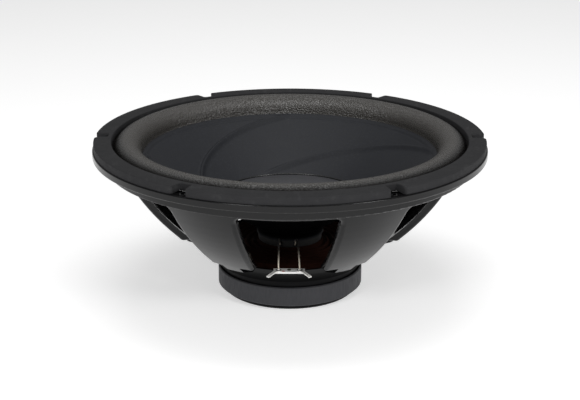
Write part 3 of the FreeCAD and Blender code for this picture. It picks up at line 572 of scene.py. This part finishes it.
def gasket_plan():
    """The gasket's outer edge in plan: arcs between notches, each notch in to its back wall."""
    rim = GASKET_HIGH.x
    mouth_turn = math.asin(NOTCH_MOUTH / rim)
    plan = []
    for index in range(NOTCHES):
        middle = math.tau * index / NOTCHES
        along = Vector((math.cos(middle), math.sin(middle)))
        side = Vector((-along.y, along.x))
        start = middle + mouth_turn
        end = middle + math.tau / NOTCHES - mouth_turn
        arc_points = [Vector((rim * math.cos(turn), rim * math.sin(turn)))
                      for turn in np.linspace(start, end, 72)]
        back_low = along * NOTCH_WALL - side * NOTCH_BACK
        back_high = along * NOTCH_WALL + side * NOTCH_BACK
        corner_low = along * math.sqrt(rim * rim - NOTCH_MOUTH ** 2) - side * NOTCH_MOUTH
        corner_high = along * math.sqrt(rim * rim - NOTCH_MOUTH ** 2) + side * NOTCH_MOUTH
        # Each mouth has one well rounded corner; which one depends on the side of the gasket.
        at_side = abs(along.x) > 0.99
        low_is_round = along.x > 0 if at_side else along.x * along.y > 0
        low_round, high_round = ((NOTCH_ROUND, NOTCH_SMALL_ROUND) if low_is_round
                                 else (NOTCH_SMALL_ROUND, NOTCH_ROUND))
        before = corner_low - side * 10 * MM
        before = before * (rim / before.length)
        after = corner_high + side * 10 * MM
        after = after * (rim / after.length)
        plan += rounded_corner(before, corner_low, back_low, low_round)
        plan += rounded_corner(corner_low, back_low, back_high, NOTCH_INNER_ROUND)
        plan += rounded_corner(back_low, back_high, corner_high, NOTCH_INNER_ROUND)
        plan += rounded_corner(back_high, corner_high, after, high_round)
        plan += arc_points[4:-4]
    return plan


def plan_normals(plan):
    """Outward normals of a closed anticlockwise plan."""
    normals = []
    for index in range(len(plan)):
        tangent = plan[(index + 1) % len(plan)] - plan[index - 1]
        normals.append(Vector((tangent.y, -tangent.x)).normalized())
    return normals


def make_gasket():
    """Foam gasket: a rounded block section that follows the notched plan."""
    plan = gasket_plan()
    normals = plan_normals(plan)
    top = GASKET_HIGH.z
    bottom = GASKET_LOW.z
    land = bottom + GASKET_STEP
    rounding = [(GASKET_EDGE * (1 - math.cos(turn)), GASKET_EDGE * (1 - math.sin(turn)))
                for turn in np.radians(np.linspace(0, 90, 6))]
    rings = [[(p.x, p.y, bottom if p.length > 151 * MM else land) for p in plan]]
    for inset, drop in rounding:
        rings.append([(p.x - n.x * inset, p.y - n.y * inset, top - drop)
                      for p, n in zip(plan, normals)])
    unit = [p.normalized() for p in plan]
    for inset, drop in reversed(rounding):
        reach = GASKET_INNER + inset
        rings.append([(u.x * reach, u.y * reach, top - drop) for u in unit])
    rings.append([(u.x * GASKET_INNER, u.y * GASKET_INNER, land) for u in unit])
    reaches = [min(FLANGE_LEDGE, p.length - 0.1 * MM) for p in plan]
    rings.append([(u.x * reach, u.y * reach, land) for u, reach in zip(unit, reaches)])
    points, faces = loft(rings)
    gasket = mesh_object("gasket_ring", points, faces, math.radians(40))
    gasket_foam().paint(gasket)
    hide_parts("mounting_gasket")
    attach(gasket, FRAME_BODY)


# ---------------------------------------------------------------- surround

ROLL_CENTRE = (132.4 * MM, 0.85 * MM)
ROLL_RADIUS = 12.15 * MM
ROLL_WALL = 1.2 * MM
LAND_RADIUS = 147.8 * MM
CONE_EDGE = 120.05 * MM
CONE_SLOPE = 0.664


def cone_height(radius):
    """Height of the cone's plain upper face."""
    return CONE_HIGH.z - (CONE_EDGE - radius) * CONE_SLOPE


def make_surround():
    """Half roll with an outer land under the gasket and an inner land under the cone's edge."""
    seat = GASKET_LOW.z
    land_top = seat + 0.79 * MM
    glue_line = 1.56 * MM
    land_drop = 1.4 * MM
    inner_land = 113.0 * MM
    meet = math.degrees(math.asin((land_top - ROLL_CENTRE[1]) / ROLL_RADIUS))
    under = ROLL_RADIUS - ROLL_WALL
    meet_under = math.degrees(math.asin((seat - ROLL_CENTRE[1]) / under))
    outline = [(LAND_RADIUS, seat), (LAND_RADIUS, land_top)]
    outline += arc(ROLL_CENTRE, ROLL_RADIUS, meet, 180, 56)
    outside = ROLL_CENTRE[0] - ROLL_RADIUS
    inside = ROLL_CENTRE[0] - under
    outline += [
        (outside, cone_height(outside) - glue_line + 0.5 * MM),
        (outside - 0.6 * MM, cone_height(outside - 0.6 * MM) - glue_line),
        (inner_land, cone_height(inner_land) - glue_line),
        (inner_land, cone_height(inner_land) - glue_line - land_drop),
        (inside - 0.5 * MM, cone_height(inside - 0.5 * MM) - glue_line - land_drop),
        (inside, cone_height(inside) - glue_line - land_drop + 0.6 * MM),
    ]
    outline += arc(ROLL_CENTRE, under, 180, meet_under, 48)
    surround = lathe("surround_roll", outline, around=720)
    surround_skin().paint(surround)
    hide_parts("surround")
    bend_by_radius(surround, ROLL_CENTRE[0] + ROLL_RADIUS, ROLL_CENTRE[0] - ROLL_RADIUS)


# ---------------------------------------------------------------- cone and dust cap

CAP_RADIUS = CAP_HIGH.x
CAP_SPHERE = 236.6 * MM
NECK_INNER = 26.4 * MM
NECK_OUTER = 27.6 * MM
RIBS = 4
RIB_CENTRE = (28.0 * MM, -16.7 * MM)
RIB_SWEEP_RADIUS = 91.0 * MM
RIB_START = math.radians(100)
RIB_END = math.radians(219)
RIB_HEIGHT = 2.6 * MM
RIB_WIDTH = 1.7 * MM
CREASE_RADIUS = 116.0 * MM


def rib_rise(across, along):
    """Height of the four swirl ribs over the cone's plain face at points in plan."""
    rise = np.zeros_like(across)
    for index in range(RIBS):
        turn = index * math.tau / RIBS
        x = across * math.cos(turn) + along * math.sin(turn)
        y = -across * math.sin(turn) + along * math.cos(turn)
        dx = x - RIB_CENTRE[0]
        dy = y - RIB_CENTRE[1]
        off = np.hypot(dx, dy) - RIB_SWEEP_RADIUS
        sweep = np.mod(np.arctan2(dx, -dy), math.tau)
        fade = smooth_step(RIB_START, RIB_START + 0.12, sweep)
        fade *= 1 - smooth_step(RIB_END - 0.35, RIB_END, sweep)
        rise = np.maximum(rise, fade * RIB_HEIGHT * np.exp(-(off / RIB_WIDTH) ** 2))
    return rise


def crease_rise(radius):
    """The pressed line near the cone's edge: a shallow groove with a soft lip."""
    off = (radius - CREASE_RADIUS) / (0.9 * MM)
    return -0.35 * MM * np.exp(-off * off) + 0.2 * MM * np.exp(-(off - 1.8) ** 2)


def make_cone():
    """Cone with swirl ribs and a pressed line, formed alike on both faces, and its neck."""
    around = 1080
    wall = CONE_HIGH.z - cone_height(CONE_EDGE - 1.44 * MM / CONE_SLOPE)
    turns = np.linspace(0, math.tau, around, endpoint=False)
    radii = np.concatenate([np.linspace(CONE_EDGE, 112 * MM, 24),
                            np.linspace(111.4 * MM, 60 * MM, 96),
                            np.linspace(58 * MM, NECK_OUTER + 0.8 * MM, 14)])

    def face(radius, drop):
        across = radius * np.cos(turns)
        along = radius * np.sin(turns)
        height = cone_height(radius) - drop + crease_rise(np.full_like(turns, radius))
        height = height + rib_rise(across, along)
        return list(zip(across, along, height))

    rings = [face(radius, 0.0) for radius in radii]
    rings.append(circle(NECK_INNER, cone_height(NECK_INNER), around))
    rings.append(circle(NECK_INNER, CONE_LOW.z, around))
    rings.append(circle(NECK_OUTER, CONE_LOW.z, around))
    rings.append(circle(NECK_OUTER, cone_height(NECK_OUTER) - wall, around))
    rings += [face(radius, wall) for radius in reversed(radii[:-1])]
    points, faces = loft(rings)
    cone = mesh_object("cone_body", points, faces, math.radians(60))
    cone_skin().paint(cone)
    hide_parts("cone")
    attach(cone, CONE_BODY)


def make_dust_cap():
    """Domed cap with a rolled rim, standing on a bead of glue."""
    centre = CAP_HIGH.z - CAP_SPHERE
    wall = 1.0 * MM
    lip = 0.9 * MM
    rim_turn = math.degrees(math.asin(CAP_RADIUS / CAP_SPHERE))
    around = 360
    outline = []
    for turn in np.linspace(0.12, rim_turn - 0.5, 64):
        outline.append((CAP_SPHERE * math.sin(math.radians(turn)),
                        centre + CAP_SPHERE * math.cos(math.radians(turn))))
    edge_radius, edge_height = outline[-1]
    outline += [
        (edge_radius + 0.5 * lip, edge_height - 0.45 * lip),
        (CAP_RADIUS, edge_height - 0.9 * lip),
        (CAP_RADIUS, edge_height - 1.3 * lip),
        (CAP_RADIUS - wall, edge_height - 1.3 * lip),
    ]
    under = CAP_SPHERE - wall
    for turn in np.linspace(rim_turn - 1.2, 0.12, 40):
        outline.append((under * math.sin(math.radians(turn)),
                        centre + under * math.cos(math.radians(turn))))
    rings = [circle(radius, height, around) for radius, height in outline]
    points, faces = loft(rings, closed=False)
    top = len(points)
    points.append((0.0, 0.0, CAP_HIGH.z))
    points.append((0.0, 0.0, CAP_HIGH.z - wall))
    last = (len(rings) - 1) * around
    for column in range(around):
        step = (column + 1) % around
        faces.append((top, step, column))
        faces.append((top + 1, last + column, last + step))
    cap = mesh_object("dust_cap_dome", points, faces, math.radians(60))
    cap_skin().paint(cap)
    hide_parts("dust_cap")
    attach(cap, CONE_BODY)


def make_cap_glue():
    """Bead of black glue where the cap's rim stands on the cone."""
    around = 720
    bead = 0.7 * MM
    rings = []
    turns = np.linspace(0, math.tau, around, endpoint=False)
    uneven = 1 + 0.12 * np.sin(turns * 23) * np.sin(turns * 7 + 1.0)
    radius = CAP_RADIUS + 0.45 * MM
    for corner in np.linspace(0, math.tau, 10, endpoint=False):
        size = bead * uneven
        place = radius + size * math.cos(corner)
        height = cone_height(radius) + 0.25 * MM + size * math.sin(corner)
        rings.append(list(zip(place * np.cos(turns), place * np.sin(turns), height)))
    points, faces = loft(rings)
    glue = mesh_object("cap_glue_bead", points, faces)
    glue_film().paint(glue)
    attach(glue, CONE_BODY)


# ---------------------------------------------------------------- spider and leads

SPIDER_START = 29.5 * MM
SPIDER_PITCH = 5.6 * MM
SPIDER_WAVE = 1.35 * MM
SPIDER_END = 60.3 * MM
SPIDER_GAUGE = 0.7 * MM
SPIDER_INNER = 26.45 * MM
SPIDER_RIM = 66.3 * MM
PAD_REACH = 28.3 * MM
LEAD_BOW = 26.5 * MM
LEAD_RADIUS = 0.62 * MM


def make_spider():
    """Corrugated cloth ring with a glued neck and a flat clamped edge."""
    level = SPIDER_LOW.z + 1.5 * MM + 0.3 * MM
    radii = np.linspace(SPIDER_START, SPIDER_END, 180)
    wave = SPIDER_WAVE * np.sin((radii - SPIDER_START) * math.tau / SPIDER_PITCH)
    middle = [(radius, level + rise) for radius, rise in zip(radii, wave)]
    inner = SPIDER_INNER
    seat = SPIDER_LOW.z
    upper = [(inner, SPIDER_HIGH.z), (inner + SPIDER_GAUGE, SPIDER_HIGH.z),
             (inner + SPIDER_GAUGE, level + 1.2 * MM), (inner + 1.6 * MM, level + SPIDER_GAUGE)]
    upper += [(radius, height + SPIDER_GAUGE) for radius, height in middle]
    upper += [(SPIDER_END + 1.5 * MM, seat + SPIDER_GAUGE), (SPIDER_RIM, seat + SPIDER_GAUGE)]
    lower = [(SPIDER_RIM, seat), (SPIDER_END + 1.2 * MM, seat)]
    lower += [(radius, height) for radius, height in reversed(middle)]
    lower += [(inner + 0.9 * MM, level), (inner, level + 0.4 * MM)]
    spider = lathe("spider_ring", upper + lower, around=360)
    spider_cloth().paint(spider)
    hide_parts("spider")
    bend_by_radius(spider, 63.0 * MM, 28.0 * MM)


def braided_tube(name, path, radius):
    """A tube of crossing strands along a path of points."""
    sides = 20
    rings = []
    count = len(path)
    for index, point in enumerate(path):
        tangent = (path[min(index + 1, count - 1)] - path[max(index - 1, 0)]).normalized()
        side = tangent.cross(Vector((1, 0, 0))).normalized()
        up = side.cross(tangent).normalized()
        ring = []
        phase = index * 0.42
        for corner in range(sides):
            turn = math.tau * corner / sides
            weave = abs(math.sin(3 * turn + phase)) * abs(math.sin(3 * turn - phase))
            reach = radius * (0.84 + 0.2 * weave)
            ring.append(point + side * (reach * math.cos(turn)) + up * (reach * math.sin(turn)))
        rings.append(ring)
    points, faces = loft(rings, closed=False)
    faces.append(tuple(reversed(range(sides))))
    faces.append(tuple(len(points) - sides + corner for corner in range(sides)))
    return mesh_object(name, points, faces, math.radians(80))


def lead_path(start, end, radius, steps=110):
    """A bow of that radius from start up and over to end, in an upright plane."""
    chord = end - start
    middle = (start + end) / 2
    level = Vector((chord.x, chord.y, 0)).normalized()
    slope = math.atan2(chord.z, Vector((chord.x, chord.y)).length)
    half = math.asin(chord.length / 2 / radius)
    down = (level * math.sin(slope)) - Vector((0, 0, math.cos(slope)))
    centre = middle + down * (radius * math.cos(half))
    along = chord.normalized()
    points = []
    for share in np.linspace(-1, 1, steps):
        turn = half * share
        points.append(centre + along * (radius * math.sin(turn)) - down * (radius * math.cos(turn)))
    return points


def make_leads():
    """Two braided leads from the board's eyelets up to the former."""
    braid = tinsel_braid()
    pad_height = (PADS_HIGH.z + PADS_LOW.z) / 2
    for node, side, turn in (("positive_lead", -1, -17.0), ("negative_lead", 1, 9.0)):
        start = Vector((EYELET_ACROSS * side, EYELET_ALONG, EYELETS_HIGH.z + 0.4 * MM))
        end = Vector((PAD_REACH * math.sin(math.radians(turn)),
                      -PAD_REACH * math.cos(math.radians(turn)), pad_height))
        lead = braided_tube(node + "_braid", lead_path(start, end, LEAD_BOW), LEAD_RADIUS)
        braid.paint(lead)
        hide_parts(node)
        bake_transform(lead, FRAME_BODY, CONE_BODY, start=start, end=end)


# ---------------------------------------------------------------- small pieces on the board

def dab(name, centre, width, depth, height, seed):
    """A low uneven dome of ink or solder."""
    around = 32
    rings = []
    for level in np.linspace(0, 1, 7):
        ring = []
        for corner in range(around):
            turn = math.tau * corner / around
            ragged = 1 + 0.08 * math.sin(3 * turn + seed) + 0.05 * math.sin(7 * turn + seed * 2)
            reach = math.cos(level * math.pi / 2 * 0.96) * ragged
            ring.append((centre[0] + width * reach * math.cos(turn),
                         centre[1] + depth * reach * math.sin(turn),
                         centre[2] + height * math.sin(level * math.pi / 2)))
        rings.append(ring)
    points, faces = loft(rings, closed=False)
    faces.append(tuple(reversed(range(around))))
    faces.append(tuple(len(points) - around + corner for corner in range(around)))
    return mesh_object(name, points, faces, math.radians(80))


def make_board_marks():
    """The red polarity spot and the solder that fills each eyelet."""
    mark = dab("polarity_mark", (-4.4 * MM, BOARD_LOW.y + 1.5 * MM, BOARD_HIGH.z + 0.02 * MM),
               1.3 * MM, 1.0 * MM, 0.12 * MM, 1.0)
    red_ink().paint(mark)
    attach(mark, FRAME_BODY)
    solder = solder_metal()
    for name, side in (("positive_solder", -1), ("negative_solder", 1)):
        bead = dab(name, (EYELET_ACROSS * side, EYELET_ALONG, EYELETS_HIGH.z + 0.02 * MM),
                   1.25 * MM, 1.25 * MM, 0.75 * MM, 2.0 + side)
        solder.paint(bead)
        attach(bead, FRAME_BODY)


# ---------------------------------------------------------------- CAD nodes that stay

def finish_cad_nodes():
    """Materials of the CAD nodes that no Blender piece replaces."""
    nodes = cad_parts
    gloss_paint().paint(nodes["basket"])
    plated_steel().paint(nodes["top_plate"], nodes["pole_yoke"])
    ferrite().paint(nodes["magnet"])
    rivet_steel().paint(nodes["basket_rivets"], nodes["board_rivet"])
    board_laminate().paint(nodes["terminal_board"])
    tinned_metal().paint(nodes["negative_lug"], nodes["positive_lug"], nodes["lug_eyelets"])
    glue_film().paint(nodes["lead_solder_pads"])
    black_paper().paint(nodes["former_collar"])
    former_foil().paint(nodes["voice_coil_former"])
    coil_wire().paint(nodes["voice_coil_winding"])


# ---------------------------------------------------------------- studio

CAMERA_AWAY = 1.0512
CAMERA_RISE = 0.2988
CAMERA_PITCH = math.radians(18.634)
CAMERA_TURN = math.radians(0.55)
LENS = 83.24


def make_camera():
    """The camera in front of the terminal board, a little above the speaker."""
    data = bpy.data.cameras.new("studio_camera")
    data.lens = LENS
    data.sensor_width = 36.0
    data.sensor_fit = "HORIZONTAL"
    data.clip_start = 0.05
    camera = bpy.data.objects.new("studio_camera", data)
    bpy.context.scene.collection.objects.link(camera)
    camera.location = (CAMERA_AWAY * math.sin(CAMERA_TURN), -CAMERA_AWAY * math.cos(CAMERA_TURN),
                       GASKET_HIGH.z + CAMERA_RISE)
    camera.rotation_euler = (math.pi / 2 - CAMERA_PITCH, 0, CAMERA_TURN)
    bpy.context.scene.camera = camera


def softbox(name, place, target, width, depth, power):
    """A soft area light at place, turned towards target."""
    data = bpy.data.lights.new(name, "AREA")
    data.shape = "RECTANGLE"
    data.size = width
    data.size_y = depth
    data.energy = power
    light = bpy.data.objects.new(name, data)
    bpy.context.scene.collection.objects.link(light)
    light.location = place
    light.rotation_euler = (Vector(target) - Vector(place)).to_track_quat("-Z", "Y").to_euler()


FLOOR_LIFT = 0.42
WORLD_FILL = 0.3


def make_floor():
    """Plain pale floor, a little brighter than its light alone makes it."""
    half = 6.0
    level = YOKE_LOW.z - 0.2 * MM
    floor = mesh_object("floor", [(-half, -half, level), (half, -half, level),
                                  (half, half, level), (-half, half, level)], [(0, 1, 2, 3)])
    finish = Finish("pale_floor", roughness=0.9)
    tone = finish.noise(0.4, detail=2.0)
    finish.set("Base Color", finish.mix(tone, (0.93, 0.93, 0.93), (0.95, 0.95, 0.95)))
    finish.set("Specular IOR Level", 0.1)
    finish.set("Emission Strength", FLOOR_LIFT)
    finish.paint(floor)


def make_world():
    """White backdrop behind the speaker that lights it with an even, soft fill."""
    world = bpy.data.worlds.new("studio")
    world.use_nodes = True
    tree = world.node_tree
    background = tree.nodes["Background"]
    background.inputs["Color"].default_value = (1.0, 1.0, 1.0, 1.0)
    level = tree.nodes.new("ShaderNodeMapRange")
    level.inputs["To Min"].default_value = WORLD_FILL
    level.inputs["To Max"].default_value = 1.0
    seen = tree.nodes.new("ShaderNodeLightPath").outputs["Is Camera Ray"]
    tree.links.new(seen, level.inputs["Value"])
    tree.links.new(level.outputs["Result"], background.inputs["Strength"])
    bpy.context.scene.world = world


def make_studio():
    """Backdrop, floor and three soft lights."""
    scene = bpy.context.scene
    scene.view_settings.view_transform = "Standard"
    scene.view_settings.look = "None"
    make_world()
    make_floor()
    softbox("overhead", (0, 0.1, 1.3), (0, 0, 0), 1.0, 0.7, 6)
    softbox("front_left", (-0.62, -1.2, 0.72), (0, 0, -0.05), 0.42, 0.42, 6)
    softbox("front_right", (1.0, -1.0, 0.72), (0, 0, -0.05), 0.42, 0.42, 8)


make_gasket()
make_surround()
make_cone()
make_dust_cap()
make_cap_glue()
make_spider()
make_leads()
make_board_marks()
finish_cad_nodes()
make_camera()
make_studio()
